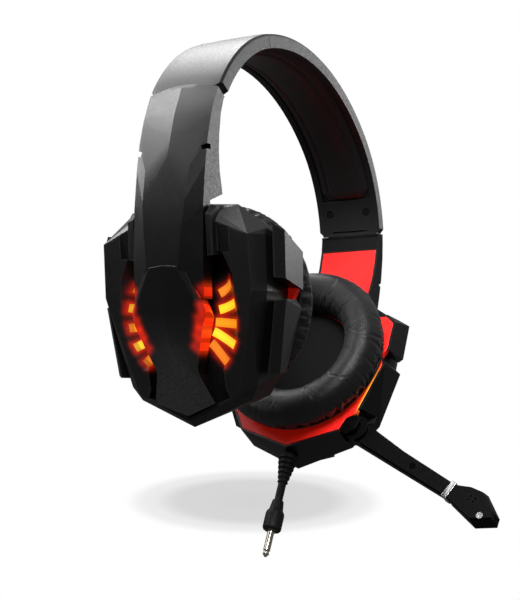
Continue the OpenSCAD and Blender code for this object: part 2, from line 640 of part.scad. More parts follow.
module plug_tip() plug_frame() color(steel) rotate_extrude() {
  r = plug_d / 2;
  polygon([[0, 12.1], [1.95, 12.1], [1.95, 16], [r, 16], [r, 26.6], [r - 0.5, 27.2],
    [r - 0.05, 28.4], [0.5, 30], [0, 30]]);
}

headband_cover();
headband_liner();
headband_pad();
headband_spring();
headband_screws();
arm_spine(LEFT);  // left_arm_spine
arm_panel(LEFT);  // left_arm_panel
arm_slider(LEFT);  // left_arm_slider
arm_screws(LEFT);  // left_arm_screws
tilt_pin(LEFT);  // left_tilt_pin
cup_shell(LEFT);  // left_cup_shell
cup_pods(LEFT);  // left_cup_pods
cup_baffle(LEFT);  // left_cup_baffle
light_guides(LEFT);  // left_light_guides
led_board(LEFT);  // left_led_board
driver_frame(LEFT);  // left_driver_frame
driver_magnet(LEFT);  // left_driver_magnet
driver_diaphragm(LEFT);  // left_driver_diaphragm
speaker_cloth(LEFT);  // left_speaker_cloth
cushion_ring(LEFT);  // left_cushion_ring
cushion(LEFT);  // left_cushion
cup_screws(LEFT);  // left_cup_screws
arm_spine(RIGHT);  // right_arm_spine
arm_panel(RIGHT);  // right_arm_panel
arm_slider(RIGHT);  // right_arm_slider
arm_screws(RIGHT);  // right_arm_screws
tilt_pin(RIGHT);  // right_tilt_pin
cup_shell(RIGHT);  // right_cup_shell
cup_pods(RIGHT);  // right_cup_pods
cup_baffle(RIGHT);  // right_cup_baffle
light_guides(RIGHT);  // right_light_guides
led_board(RIGHT);  // right_led_board
driver_frame(RIGHT);  // right_driver_frame
driver_magnet(RIGHT);  // right_driver_magnet
driver_diaphragm(RIGHT);  // right_driver_diaphragm
speaker_cloth(RIGHT);  // right_speaker_cloth
cushion_ring(RIGHT);  // right_cushion_ring
cushion(RIGHT);  // right_cushion
cup_screws(RIGHT);  // right_cup_screws
mic_hinge_cap();
mic_pivot_pin();
mic_boom_body();
mic_boom_cover();
mic_band();
mic_capsule();
mic_screws();
cable_boot();
cable();
plug_body();
plug_tip();
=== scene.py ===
# Gaming headset: materials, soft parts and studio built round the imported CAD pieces.
# +X is the wearer's left, +Y the back and +Z up. The cups sit either side of the origin
# and the headband arches over them. Shape dimensions are in millimetres.
import json
import math
import random
from collections import namedtuple

import bpy
import numpy as np
from mathutils import Matrix, Vector, noise


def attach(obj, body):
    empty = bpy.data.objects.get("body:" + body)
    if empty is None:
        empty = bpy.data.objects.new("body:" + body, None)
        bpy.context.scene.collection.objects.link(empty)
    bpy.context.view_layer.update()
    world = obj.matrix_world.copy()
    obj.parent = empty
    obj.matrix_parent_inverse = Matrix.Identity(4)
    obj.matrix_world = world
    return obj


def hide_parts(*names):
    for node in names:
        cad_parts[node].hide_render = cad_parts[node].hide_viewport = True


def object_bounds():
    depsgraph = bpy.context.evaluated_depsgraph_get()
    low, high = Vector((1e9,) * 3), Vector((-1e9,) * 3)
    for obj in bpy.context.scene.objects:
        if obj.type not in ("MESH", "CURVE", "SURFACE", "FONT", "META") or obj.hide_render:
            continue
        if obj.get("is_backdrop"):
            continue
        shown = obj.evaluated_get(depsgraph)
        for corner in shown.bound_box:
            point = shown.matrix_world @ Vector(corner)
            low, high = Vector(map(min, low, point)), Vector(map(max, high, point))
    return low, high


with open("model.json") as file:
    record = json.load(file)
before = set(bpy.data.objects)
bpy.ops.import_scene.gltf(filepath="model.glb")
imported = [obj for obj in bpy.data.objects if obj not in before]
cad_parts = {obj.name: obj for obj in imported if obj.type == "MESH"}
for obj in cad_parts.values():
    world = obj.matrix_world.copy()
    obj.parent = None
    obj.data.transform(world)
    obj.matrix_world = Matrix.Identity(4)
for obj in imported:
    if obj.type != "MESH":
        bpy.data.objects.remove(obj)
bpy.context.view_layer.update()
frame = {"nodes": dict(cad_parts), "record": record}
NODES, RECORD = frame["nodes"], frame["record"]
scene = bpy.context.scene
MM = 0.001

# cups: lean of the cup axis, and distance of the cup frame's origin from the middle plane
TOE = math.radians(15.5)
CUP_X = 60.0

# headband: one crown arc on the middle plane, carried on by a tighter arc at each side
APEX = 151.3
CROWN_RADIUS, SIDE_RADIUS = 120.0, 83.0
CROWN_ANGLE = math.radians(30)
BAND_THICKNESS = 7.4
CROWN_CENTRE_Z = APEX - CROWN_RADIUS
SIDE_CENTRE_X = (CROWN_RADIUS - SIDE_RADIUS) * math.sin(CROWN_ANGLE)
SIDE_CENTRE_Z = CROWN_CENTRE_Z + (CROWN_RADIUS - SIDE_RADIUS) * math.cos(CROWN_ANGLE)


# ---------------------------------------------------------------- mesh helpers
def cup_point(s, x, y, z):
    """Cup frame in mm (x back, y up, z out) to metres; s is 1 on the wearer's left, -1 right."""
    c, n = math.cos(TOE), math.sin(TOE)
    return Vector((s * (CUP_X + y * n + z * c), x, y * c - z * n)) * MM


def mesh_piece(name, verts, faces, body, slot, flip=False):
    """Smooth mesh that rides on a body, in the material of its slot."""
    mesh = bpy.data.meshes.new(name)
    if flip:
        faces = [face[::-1] for face in faces]
    mesh.from_pydata([tuple(v) for v in verts], [], faces)
    mesh.update()
    mesh.polygons.foreach_set("use_smooth", [True] * len(mesh.polygons))
    piece = bpy.data.objects.new(name, mesh)
    scene.collection.objects.link(piece)
    mesh.materials.append(MATERIALS[slot].mat)
    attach(piece, body)
    return piece


def loft(rings, looped):
    """Quads between equal closed rings; looped joins the last to the first, else caps the ends."""
    count, size = len(rings), len(rings[0])
    verts = [point for ring in rings for point in ring]
    faces = []
    for i in range(count if looped else count - 1):
        a, b = i * size, ((i + 1) % count) * size
        for j in range(size):
            k = (j + 1) % size
            faces.append((a + j, a + k, b + k, b + j))
    if not looped:
        faces.append(tuple(range(size))[::-1])
        faces.append(tuple((count - 1) * size + j for j in range(size)))
    return verts, faces


def spline(points, count):
    """Catmull-Rom through the points, sampled evenly by length."""
    p = [np.array(point, float) for point in points]
    p = [2 * p[0] - p[1]] + p + [2 * p[-1] - p[-2]]
    fine = []
    for i in range(1, len(p) - 2):
        a, b, c, d = p[i - 1:i + 3]
        for t in np.linspace(0, 1, 24, endpoint=False):
            fine.append(0.5 * (2 * b + (c - a) * t + (2 * a - 5 * b + 4 * c - d) * t ** 2
                               + (3 * b - a - 3 * c + d) * t ** 3))
    fine.append(p[-2])
    fine = np.array(fine)
    steps = np.linalg.norm(np.diff(fine, axis=0), axis=1)
    length = np.concatenate([[0], np.cumsum(steps)])
    stations = np.linspace(0, length[-1], count)
    return np.stack([np.interp(stations, length, fine[:, k]) for k in range(fine.shape[1])], 1)


# ---------------------------------------------------------------- node helpers
class Graph:
    """Node tree of a material or world; its methods pass sockets to each other."""

    def __init__(self, owner, output):
        owner.use_nodes = True
        self.tree = owner.node_tree
        self.tree.nodes.clear()
        self.out = self.node(output)
        self.coords = None

    def feed(self, socket, value):
        """Link a socket, or set a plain value; a tuple is an RGB colour."""
        if isinstance(value, bpy.types.NodeSocket):
            self.tree.links.new(value, socket)
        elif isinstance(value, tuple):
            socket.default_value = (*value, 1)
        else:
            socket.default_value = value

    def node(self, kind, inputs=None, **settings):
        made = self.tree.nodes.new("ShaderNode" + kind)
        for key, value in settings.items():
            setattr(made, key, value)
        for key, value in (inputs or {}).items():
            self.feed(made.inputs[key], value)
        return made

    def surface(self, shader):
        self.feed(self.out.inputs["Surface"], shader)

    def position(self):
        if self.coords is None:
            self.coords = self.node("TexCoord").outputs["Object"]
        return self.coords

    def separate(self, vector):
        return self.node("SeparateXYZ", {"Vector": vector}).outputs

    def noise(self, scale, detail, roughness, distortion=0.0):
        return self.node("TexNoise", {
            "Scale": scale, "Detail": detail, "Roughness": roughness,
            "Distortion": distortion, "Vector": self.position()}).outputs["Fac"]

    def cell_edges(self, scale):
        """Distance to the nearest edge of Voronoi cells."""
        return self.node("TexVoronoi", {"Scale": scale, "Vector": self.position()},
                         feature="DISTANCE_TO_EDGE").outputs["Distance"]

    def ramp(self, source, stops, interpolation="LINEAR"):
        """Colour ramp; stops are (position, grey or RGB)."""
        made = self.node("ValToRGB", {"Fac": source})
        made.color_ramp.interpolation = interpolation
        elements = made.color_ramp.elements
        while len(elements) < len(stops):
            elements.new(0.5)
        for i, (place, colour) in enumerate(stops):
            elements[i].position = place
            elements[i].color = (*colour, 1) if isinstance(colour, tuple) else (*[colour] * 3, 1)
        return made.outputs["Color"]

    def math(self, operation, *operands):
        return self.node("Math", dict(enumerate(operands)), operation=operation).outputs[0]

    def add(self, a, b):
        return self.math("ADD", a, b)

    def sub(self, a, b):
        return self.math("SUBTRACT", a, b)

    def mul(self, a, b):
        return self.math("MULTIPLY", a, b)

    def vector(self, operation, *operands):
        made = self.node("VectorMath", dict(enumerate(operands)), operation=operation)
        return made.outputs["Value" if operation == "DOT_PRODUCT" else "Vector"]

    def mix(self, factor, a, b, mode="MIX"):
        # 0, 6 and 7 are the factor and colour inputs; 2 is the colour result
        return self.node("Mix", {0: factor, 6: a, 7: b},
                         data_type="RGBA", blend_type=mode).outputs[2]

    def map_range(self, source, start, end):
        """0 at start to 1 at end."""
        return self.node("MapRange", {"From Min": start, "From Max": end,
                                      "Value": source}).outputs["Result"]

    def mix_shader(self, factor, a, b):
        return self.node("MixShader", {0: factor, 1: a, 2: b}).outputs[0]


class Material(Graph):
    """Material with a Principled surface."""

    def __init__(self, name):
        self.mat = bpy.data.materials.new(name)
        super().__init__(self.mat, "OutputMaterial")
        self.bsdf = self.node("BsdfPrincipled")
        self.surface(self.bsdf.outputs["BSDF"])

    def set(self, values):
        for key, value in values.items():
            self.feed(self.bsdf.inputs[key], value)

    def bump(self, height, distance, strength=1.0):
        made = self.node("Bump", {"Distance": distance, "Strength": strength, "Height": height})
        self.set({"Normal": made.outputs["Normal"]})


# ---------------------------------------------------------------- basic materials
def paler(colour, gain, lift):
    return tuple(min(1, c * gain + lift) for c in colour)


def plastic(name, colour, roughness, grain=0.00042, grain_depth=0.000011, fleck=0.0, wear=0.6,
            specular=0.45):
    """Moulded plastic: fine grain (metres), a little tone variation, paler edges that are partly
    rubbed wear and partly a painted highlight.
    """
    m = Material(name)
    fine = m.noise(scale=1 / grain, detail=1.5, roughness=0.6)
    coarse = m.noise(scale=1 / (grain * 2.3), detail=2, roughness=0.5)
    blotches = m.noise(scale=28, detail=3, roughness=0.55)
    tone = m.ramp(blotches, [(0.3, 0.88), (0.7, 1.12)])
    # occlusion measured inside the part finds its outer edges
    occlusion = m.node("AmbientOcclusion", {"Distance": 0.0009},
                       samples=3, inside=True, only_local=True).outputs["AO"]
    edge = m.ramp(occlusion, [(0.45, 1.0), (0.9, 0.0)])
    # paler edges: partly rubbed wear, partly a painted highlight along the ridges
    rubbed_and_highlit_edges = m.mul(edge, m.mul(blotches, wear))
    base = m.mix(rubbed_and_highlit_edges, colour, paler(colour, gain=2.4, lift=0.022))
    base = m.mix(1.0, base, tone, "MULTIPLY")
    if fleck:
        specks = m.ramp(m.noise(scale=1 / (grain * 0.9), detail=0, roughness=0.5),
                        [(0.64, 0.0), (0.74, 1.0)])
        base = m.mix(m.mul(specks, fleck), base, paler(colour, gain=2.2, lift=0.01))
    m.set({"Base Color": base,
           "Roughness": m.ramp(coarse, [(0.3, roughness - 0.06), (0.7, roughness + 0.07)]),
           "Specular IOR Level": specular,
           "Coat Roughness": 0.2})
    m.bump(fine, distance=grain_depth)
    return m


def leather(name, colour, roughness):
    """Soft imitation leather: pebbled grain of about half a millimetre and fine creases."""
    m = Material(name)
    pebbles = m.ramp(m.cell_edges(scale=1 / 0.00055), [(0.0, 0.0), (0.22, 1.0)])
    creases = m.ramp(m.cell_edges(scale=1 / 0.0017), [(0.0, 0.0), (0.1, 1.0)])
    fine = m.noise(scale=900, detail=3, roughness=0.6)
    blotches = m.noise(scale=45, detail=3, roughness=0.5)
    tone = m.ramp(blotches, [(0.3, 0.78), (0.72, 1.25)])
    m.set({"Base Color": m.mix(1.0, colour, tone, "MULTIPLY"),
           "Roughness": m.ramp(fine, [(0.3, roughness - 0.07), (0.7, roughness + 0.1)]),
           "Specular IOR Level": 0.55,
           "Sheen Weight": 0.08})
    height = m.add(m.mul(pebbles, 0.6), m.add(m.mul(creases, 0.35), m.mul(fine, 0.5)))
    m.bump(height, distance=0.00006, strength=0.75)
    return m


def weave(name, colour, pitch):
    """Fine woven cloth: bands along Y and Z, pitch in metres."""
    m = Material(name)
    threads = [m.node("TexWave", {"Scale": 1 / pitch / 3.2, "Distortion": 0.4, "Detail": 1,
                                  "Vector": m.position()},
                      wave_type="BANDS", bands_direction=axis).outputs["Fac"] for axis in "YZ"]
    height = m.math("MAXIMUM", *threads)
    shades = [(0.0, tuple(c * 0.35 for c in colour)), (1.0, tuple(c * 1.6 for c in colour))]
    m.set({"Base Color": m.ramp(height, shades),
           "Roughness": 0.85,
           "Specular IOR Level": 0.25,
           "Sheen Weight": 0.06})
    m.bump(height, distance=0.00012, strength=0.8)
    return m


def metal(name, roughness, colour=None, brushed=True):
    """Metal with clouded tone; without a colour the caller sets the base."""
    m = Material(name)
    grain = m.noise(scale=3500, detail=2, roughness=0.6)
    if colour:
        clouds = m.noise(scale=160, detail=4, roughness=0.65, distortion=0.6)
        tone = m.ramp(clouds, [(0.35, 0.82), (0.65, 1.08)])
        m.set({"Base Color": m.mix(1.0, colour, tone, "MULTIPLY")})
    rough = m.ramp(grain, [(0.3, max(0.03, roughness - 0.05)), (0.7, roughness + 0.07)])
    m.set({"Metallic": 1.0, "Roughness": rough})
    if brushed:
        m.set({"Anisotropic": 0.4})
        m.bump(grain, distance=0.000008)
    return m


# ---------------------------------------------------------------- lit materials
# light bars, the same front and back: start and end in the cup frame's (|x|, y)
Bar = namedtuple("Bar", "start end colour brightness")
BARS = [Bar((20.5, 4), (25.2, 6.4), (1.0, 0.30, 0.02), 0.85),
        Bar((20.5, -4), (27.6, -2.4), (1.0, 0.62, 0.02), 1.25),
        Bar((18.5, -10.6), (28, -11.6), (1.0, 0.34, 0.01), 1.0),
        Bar((17, -16), (26, -20.6), (1.0, 0.66, 0.03), 1.3),
        Bar((15, -21.8), (21.4, -28), (1.0, 0.26, 0.02), 0.9)]
BAR_LEAD = 3.0                                   # the glow begins this far before a bar's start
BAFFLE_EDGE = ((35.9, -32.0), (44.7, -5.2))      # lit edge of the baffle, |x| and y


def cup_position(m):
    """Sockets in mm for either cup: x and y in its frame, then world |X| from CUP_X and Z."""
    place = m.separate(m.position())
    across = m.sub(m.mul(m.math("ABSOLUTE", place["X"]), 1000.0), CUP_X)
    up = m.mul(place["Z"], 1000.0)
    x = m.mul(place["Y"], 1000.0)
    y = m.add(m.mul(across, math.sin(TOE)), m.mul(up, math.cos(TOE)))
    return x, y, across, up


def line_field(m, x, y, start, end):
    """Distance along a line from its start, distance to either side of it, and its length."""
    length = math.hypot(end[0] - start[0], end[1] - start[1])
    ux, uy = (end[0] - start[0]) / length, (end[1] - start[1]) / length
    dx, dy = m.sub(x, start[0]), m.sub(y, start[1])
    along = m.add(m.mul(dx, ux), m.mul(dy, uy))
    aside = m.math("ABSOLUTE", m.sub(m.mul(dx, uy), m.mul(dy, ux)))
    return along, aside, length


def falloff(m, distance, rate):
    """Bell curve of a distance."""
    return m.math("EXPONENT", m.mul(m.mul(distance, distance), -rate))


def glowing_plastic():
    """Black plastic with painted red light, as emission: a spill round the bars and lit patches on
    walls at their starts.
    """
    m = plastic("satin_black_plastic_lit", (0.0062, 0.0062, 0.0066), 0.37, fleck=0.5, wear=1.0)
    c, n = math.cos(TOE), math.sin(TOE)
    x, y, across, up = cup_position(m)
    x = m.math("ABSOLUTE", x)
    z = m.sub(m.mul(across, c), m.mul(up, n))
    outward = m.map_range(z, 6.0, 14.0)
    normal = m.separate(m.node("NewGeometry").outputs["True Normal"])
    side = m.math("SIGN", m.separate(m.position())["X"])
    facing = m.sub(m.mul(m.mul(normal["X"], side), c), m.mul(normal["Z"], n))
    wall = m.math("LESS_THAN", m.math("ABSOLUTE", facing), 0.45)
    total = None
    for bar in BARS:
        along, aside, length = line_field(m, x, y, bar.start, bar.end)
        from_middle = m.math("ABSOLUTE", m.sub(along, (length - BAR_LEAD) / 2))
        beyond = m.math("MAXIMUM", m.sub(from_middle, (length + BAR_LEAD) / 2), 0.0)
        beside = m.math("MAXIMUM", m.sub(aside, 1.7), 0.0)
        squared = m.add(m.mul(beyond, beyond), m.mul(beside, beside))
        spill = m.mul(m.math("EXPONENT", m.mul(squared, -0.34)), 0.42 * bar.brightness)
        patch = m.mul(m.math("LESS_THAN", aside, 1.75), m.math("LESS_THAN", along, 1.2))
        patch = m.mul(m.mul(patch, wall), m.math("GREATER_THAN", along, -5.5))
        glow = m.add(spill, m.mul(patch, 0.55 * bar.brightness))
        total = glow if total is None else m.add(total, glow)
    overall = 1.0
    # painted light: the spill and the wall patches are emission on the plastic, standing in for
    # the bars' light
    m.set({"Emission Color": (1.0, 0.022, 0.002),
           "Emission Strength": m.mul(m.mul(total, outward), overall)})
    return m


def light_guide():
    """Diffusing guides: fading along each bar, and dimmer at the outer ends on the back side."""
    m = Material("lit_guide")
    signed_x, y, *_ = cup_position(m)
    x = m.math("ABSOLUTE", signed_x)
    back = m.math("GREATER_THAN", signed_x, 0.0)
    total = None
    for bar in BARS:
        along, aside, length = line_field(m, x, y, bar.start, bar.end)
        inside = m.math("LESS_THAN", aside, 2.3)
        lit = m.add(m.mul(m.map_range(along, length * 1.5, 0.0), 0.35), 0.65)
        outer_end = m.math("GREATER_THAN", along, length * 0.80)
        lit = m.mul(lit, m.sub(1.0, m.mul(back, m.mul(outer_end, 0.45))))
        core = m.map_range(aside, 2.0, 0.4)
        lit = m.mul(lit, m.add(m.mul(core, 0.25), 0.8))
        light = m.node("VectorMath", {0: Vector(bar.colour),
                                      "Scale": m.mul(m.mul(inside, lit), bar.brightness)},
                       operation="SCALE").outputs[0]
        total = light if total is None else m.vector("ADD", total, light)
    m.set({"Base Color": (0.35, 0.06, 0.01),
           "Roughness": 0.4,
           "Emission Color": total,
           "Emission Strength": 1.0})
    return m


def lit_baffle():
    """Red plate with light leaking along its lower edges and a faint glow all over, both painted
    as emission.
    """
    m = plastic("satin_red_baffle", **RED)
    x, y, *_ = cup_position(m)
    along, aside, length = line_field(m, m.math("ABSOLUTE", x), y, *BAFFLE_EDGE)
    ends = m.mul(m.map_range(along, length, length * 0.45), m.map_range(along, -0.5, 1.5))
    hot = falloff(m, aside, rate=2.6)
    warm = falloff(m, aside, rate=0.10)
    leak = m.mul(m.add(m.mul(hot, 0.9), m.mul(warm, 0.35)), ends)
    # painted light: emission for the leak along the edge plus a faint glow of 0.12 over the whole
    # plate
    m.set({"Emission Color": m.mix(hot, (1.0, 0.02, 0.004), (1.0, 0.42, 0.02)),
           "Emission Strength": m.add(leak, 0.12)})
    return m


def boom_screws():
    """Bright screw at the front of the boom, blackened behind y = -0.09 m."""
    m = metal("boom_screws", roughness=0.25)
    front = m.math("LESS_THAN", m.separate(m.position())["Y"], -0.09)
    m.set({"Base Color": m.mix(front, (0.02, 0.02, 0.021), (0.8, 0.8, 0.82))})
    return m


BLACK = (0.0062, 0.0062, 0.0066)
RED = dict(colour=(0.80, 0.010, 0.008), roughness=0.38, wear=0.0, grain_depth=0.000006,
           specular=0.4)
MATERIALS = {   # by material slot
    "black_plastic": plastic("satin_black_plastic", BLACK, 0.37, fleck=0.5),
    "band_plastic": plastic("satin_band_plastic", (0.0085, 0.0085, 0.0090), 0.42, fleck=0.4),
    "dark_plastic": plastic("matte_dark_plastic", BLACK, 0.5),
    "red_plastic": plastic("satin_red_plastic", **RED),
    "leather": leather("imitation_leather", (0.0072, 0.0072, 0.0078), roughness=0.42),
    "speaker_cloth": weave("speaker_cloth", (0.0045, 0.0045, 0.0048), pitch=0.0006),
    "rubber": plastic("soft_rubber", (0.006, 0.006, 0.0065), 0.55, grain=0.0005,
                      grain_depth=0.00002),
    "circuit_board": plastic("green_board", (0.02, 0.16, 0.06), 0.3, grain=0.0008),
    "diaphragm": plastic("film_diaphragm", (0.35, 0.35, 0.37), 0.35),
    "steel": metal("brushed_steel", 0.32, (0.62, 0.63, 0.65)),
    "screw_steel": metal("zinc_steel", 0.3, (0.55, 0.55, 0.56)),
    "chrome": metal("chrome", 0.10, (0.86, 0.87, 0.89), brushed=False),
    "plug_metal": metal("plug_metal", 0.16, (0.85, 0.80, 0.66), brushed=False),
    "light_guide": light_guide(),
}
BOOM = plastic("satin_black_boom", (0.0016, 0.0016, 0.0018), 0.40, specular=0.14, wear=0.3)
GLOWING = glowing_plastic()
PIECE_MATERIALS = {   # pieces that differ from their slot's material
    "mic_boom_body": BOOM,
    "mic_boom_cover": BOOM,
    "mic_hinge_cap": BOOM,
    "cup_pods": plastic("satin_black_pods", (0.0045, 0.0045, 0.0048), 0.36, fleck=0.5, wear=1.0),
    "cup_shell": GLOWING,
    "arm_spine": GLOWING,
    "cup_baffle": lit_baffle(),
    "headband_screws": metal("blackened_screw", 0.4, (0.05, 0.05, 0.052)),
    "mic_screws": boom_screws(),
}

# ---------------------------------------------------------------- CAD pieces
BEVELS = {   # width in mm, segments
    "cup_shell": (0.35, 3), "arm_spine": (0.35, 3), "cup_pods": (0.35, 3),
    "cup_baffle": (0.25, 2), "arm_panel": (0.25, 2), "headband_cover": (0.45, 3),
    "headband_liner": (0.3, 2), "mic_boom_body": (0.4, 3), "mic_boom_cover": (0.3, 2),
    "mic_hinge_cap": (0.35, 3), "mic_band": (0.25, 2), "cable_boot": (0.2, 2),
    "light_guides": (0.12, 2),
}
OTHER_BEVEL = (0.12, 1)
CRISP = ("arm_spine", "cup_shell", "cup_pods")   # bevelled at shallow creases too


def finish_piece(piece, key, slot):
    """Give a CAD piece its material, smooth shading and softened edges."""
    piece.data.materials.clear()
    piece.data.materials.append(PIECE_MATERIALS.get(key, MATERIALS[slot]).mat)
    piece.data.polygons.foreach_set("use_smooth", [True] * len(piece.data.polygons))
    weld = piece.modifiers.new("weld", "WELD")
    weld.merge_threshold = 2e-6
    flat = piece.modifiers.new("flat", "DECIMATE")
    flat.decimate_type = "DISSOLVE"
    flat.angle_limit = math.radians(0.6)
    width, segments = BEVELS.get(key, OTHER_BEVEL)
    bevel = piece.modifiers.new("bevel", "BEVEL")
    bevel.width = width * MM
    bevel.segments = segments
    bevel.limit_method = "ANGLE"
    bevel.angle_limit = math.radians(6 if key in CRISP else 14)
    bevel.harden_normals = True
    bevel.use_clamp_overlap = True
    bevel.miter_outer = "MITER_ARC"
    normals = piece.modifiers.new("normals", "WEIGHTED_NORMAL")
    normals.keep_sharp = True
    normals.weight = 80


slots = {part["node"]: part["material_slot"] for part in RECORD["subparts"]}
for name, piece in NODES.items():
    finish_piece(piece, name.replace("left_", "").replace("right_", ""), slots[name])

# ---------------------------------------------------------------- ear cushions
# section of the cover from outer hem round to inner hem: radius, cup-frame z
CUSHION = [(42.6, -11.95), (43.6, -12.6), (44.7, -14.4), (45.2, -17.2), (45.1, -20.2),
           (44.2, -23.4), (42.2, -26.4), (39.2, -28.7), (35.8, -29.9), (32.4, -29.9),
           (29.4, -28.8), (27.2, -26.6), (26.0, -23.6), (25.6, -20.0), (25.8, -16.0),
           (26.4, -12.6), (26.7, -11.95)]
COVER_SEED = 11
RIGHT_COVER_TURN = math.radians(103)   # keeps the two cups' folds from matching
SIM_SCALE = 20.0                       # the cloth is simulated this many times life size
SIM_AROUND, SIM_ACROSS, SIM_FRAMES = 300, 50, 30
DRAWN_AROUND, DRAWN_ACROSS = 540, 72


def outline_normals(outline):
    tangent = np.gradient(outline, axis=0)
    normal = np.stack([-tangent[:, 1], tangent[:, 0]], 1)
    normal /= np.linalg.norm(normal, axis=1)[:, None]
    return normal


def pleat_offset(around, t, widen=1.0, cutoff=math.inf):
    """Height of the hem pleats at angles around and t across the cover (0 outer, 1 inner hem).

    Pleats are widened by widen and end cutoff widths from their middle.
    """
    rng = random.Random(COVER_SEED)
    offset = np.zeros(np.broadcast(around, t).shape)
    degrees = 0.0
    while degrees < 360:
        angle = math.radians(degrees)
        depth = rng.uniform(0.45, 1.25)
        width = rng.uniform(0.010, 0.021) * widen
        reach = rng.uniform(0.10, 0.30)
        slant = rng.uniform(-0.10, 0.10)
        degrees += rng.uniform(3.2, 8.0)
        away = (around + slant * t * 2 - angle + math.pi) % (2 * math.pi) - math.pi
        fold = np.exp(-(away / width) ** 2)
        outer = np.exp(-((t - 0.035) / reach) ** 2) * np.minimum(1, t / 0.03)
        inner = np.exp(-((1 - t) / 0.12) ** 2) * np.minimum(1, (1 - t) / 0.03)
        pleat = depth * outer * (fold - 0.35 * np.exp(-(away / width / 2) ** 2))
        pleat = pleat + 0.5 * depth * inner * fold
        offset -= np.where(np.abs(away) < width * cutoff, pleat, 0.0)
    return offset


def ripple(x, y, t, broad, fine):
    """Uneven surface in mm at the unit direction (x, y), t across the cover."""
    place = Vector((x * 2.2, y * 2.2, t * 5.0))
    return broad * noise.noise(place * 1.4) + fine * noise.noise(place * 3.7)


def slack_cover():
    """Vertices and faces of the cover before simulation: drawn in, with waves at its hems."""
    n, m = SIM_AROUND, SIM_ACROSS
    outline = spline(CUSHION, m)
    normal = outline_normals(outline)
    across = np.linspace(0, 1, m)
    inset = (1.9 * np.clip(np.minimum(across / 0.16, (1 - across) / 0.16), 0, 1)
             * (1 - 0.9 * np.exp(-((across - 0.5) / 0.17) ** 2)))
    rng = random.Random(COVER_SEED)
    waves = [(rng.randint(26, 58), rng.uniform(0, 6.28), rng.uniform(0.3, 1)) for _ in range(9)]
    verts, faces = [], []
    for i in range(n):
        angle = 2 * math.pi * i / n
        wave = sum(size * math.sin(count * angle + phase) for count, phase, size in waves) / 3
        for k, (radius, z) in enumerate(outline):
            t = across[k]
            lift = (0.6 * wave * math.exp(-((t - 0.08) / 0.15) ** 2)
                    + 0.14 * wave * math.exp(-((t - 0.94) / 0.07) ** 2))
            if k < 2 or k > m - 3:
                lift = 0
            r = radius - normal[k, 0] * (inset[k] - lift)
            z = z - normal[k, 1] * (inset[k] - lift)
            verts.append((r * math.cos(angle) / 1000 * SIM_SCALE,
                          r * math.sin(angle) / 1000 * SIM_SCALE, -z / 1000 * SIM_SCALE))
        a, b = i * m, ((i + 1) % n) * m
        faces += [(a + k, b + k, b + k + 1, a + k + 1) for k in range(m - 1)]
    return verts, faces


def simulated_cover():
    """Cover as cloth, held at its two hems and blown out by pressure. Cup-frame points (mm)."""
    n, m = SIM_AROUND, SIM_ACROSS
    verts, faces = slack_cover()
    mesh = bpy.data.meshes.new("cover_cloth")
    mesh.from_pydata(verts, [], faces)
    mesh.update()
    cover = bpy.data.objects.new("cover_cloth", mesh)
    scene.collection.objects.link(cover)
    hems = cover.vertex_groups.new(name="hems")
    hems.add([i * m + k for i in range(n) for k in (0, 1, m - 2, m - 1)], 1.0, "REPLACE")
    cloth = cover.modifiers.new("cloth", "CLOTH")
    settings = dict(
        quality=6, mass=0.25, air_damping=3.0,
        tension_stiffness=25, compression_stiffness=3, shear_stiffness=6, bending_stiffness=0.06,
        tension_damping=8, compression_damping=8, shear_damping=8, bending_damping=0.5,
        vertex_group_mass="hems", shrink_min=-0.06,
        use_pressure=True, uniform_pressure_force=2.2)
    for key, value in settings.items():
        setattr(cloth.settings, key, value)
    cloth.settings.effector_weights.gravity = 0
    cloth.collision_settings.use_collision = False
    cloth.point_cache.frame_start = 1
    cloth.point_cache.frame_end = SIM_FRAMES
    for f in range(1, SIM_FRAMES + 1):
        scene.frame_set(f)
    result = cover.evaluated_get(bpy.context.evaluated_depsgraph_get())
    points = np.empty(len(verts) * 3)
    result.data.vertices.foreach_get("co", points)
    points = points.reshape(n, m, 3) * 1000 / SIM_SCALE
    bpy.data.objects.remove(cover, do_unlink=True)
    bpy.data.meshes.remove(mesh)
    scene.frame_set(1)
    points[..., 2] *= -1
    # a cover that burst or ballooned is refused, and the drawn one is used
    if (not np.isfinite(points).all()
            or np.hypot(points[..., 0], points[..., 1]).max() > 47.5
            or points[..., 2].min() < -31.5):
        return None
    return points


def doubled(rows, closed):
    """Rows with a smooth one put in after each; an open set ends on its last row."""
    finer = np.empty((rows.shape[0] * 2, *rows.shape[1:]))
    finer[0::2] = rows
    following = np.roll(rows, -1, 0)
    finer[1::2] = (9 * (rows + following) - np.roll(rows, 1, 0) - np.roll(rows, -2, 0)) / 16
    if not closed:
        finer[1] = (rows[0] + rows[1]) / 2
        finer[-3] = (rows[-2] + rows[-1]) / 2
        finer = finer[:-1]
    return finer


def gathered(points):
    """The simulated cover at twice the resolution, with the fine gathers of its hems."""
    points = doubled(points, closed=True)
    points = np.swapaxes(doubled(np.swapaxes(points, 0, 1), closed=False), 0, 1)
    normal = np.cross(np.roll(points, -1, 0) - np.roll(points, 1, 0), np.gradient(points, axis=1))
    normal /= np.linalg.norm(normal, axis=2)[..., None] + 1e-9
    around = np.arctan2(points[..., 1], points[..., 0])
    # the normals must point outward on the outer wall
    wall = 12
    outward = (normal[:, wall, 0] * np.cos(around[:, wall])
               + normal[:, wall, 1] * np.sin(around[:, wall]))
    if outward.mean() < 0:
        normal = -normal
    t = np.linspace(0, 1, points.shape[1])[None, :]
    return points + normal * pleat_offset(around, t, widen=1.25)[..., None]


